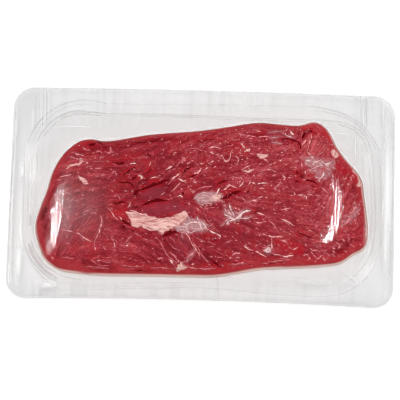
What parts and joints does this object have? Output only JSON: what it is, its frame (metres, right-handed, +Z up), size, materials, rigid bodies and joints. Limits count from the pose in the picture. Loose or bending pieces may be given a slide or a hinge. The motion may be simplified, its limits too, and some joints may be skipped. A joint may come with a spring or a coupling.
{
  "type": "skin packed bavette steak",
  "caption": "Raw bavette steak, a long flat slab of coarse red beef with pale fat seams, lying in a shallow clear tray under a tight clear skin of film.",
  "frame": {"origin": "bottom centre of the pack, on the underside of the tray floor", "axes": "+X along the length of the pack, +Y across it away from the viewer, +Z up out of the tray"},
  "size_m": [0.24, 0.134, 0.022],
  "materials": {
    "clear_tray": "clear glossy thermoformed sheet",
    "raw_beef": null,
    "clear_film": "clear glossy skin film"
  },
  "bodies": {
    "root": {"tray": "clear_tray", "steak": "raw_beef", "film": "clear_film"}
  },
  "joints": []
}
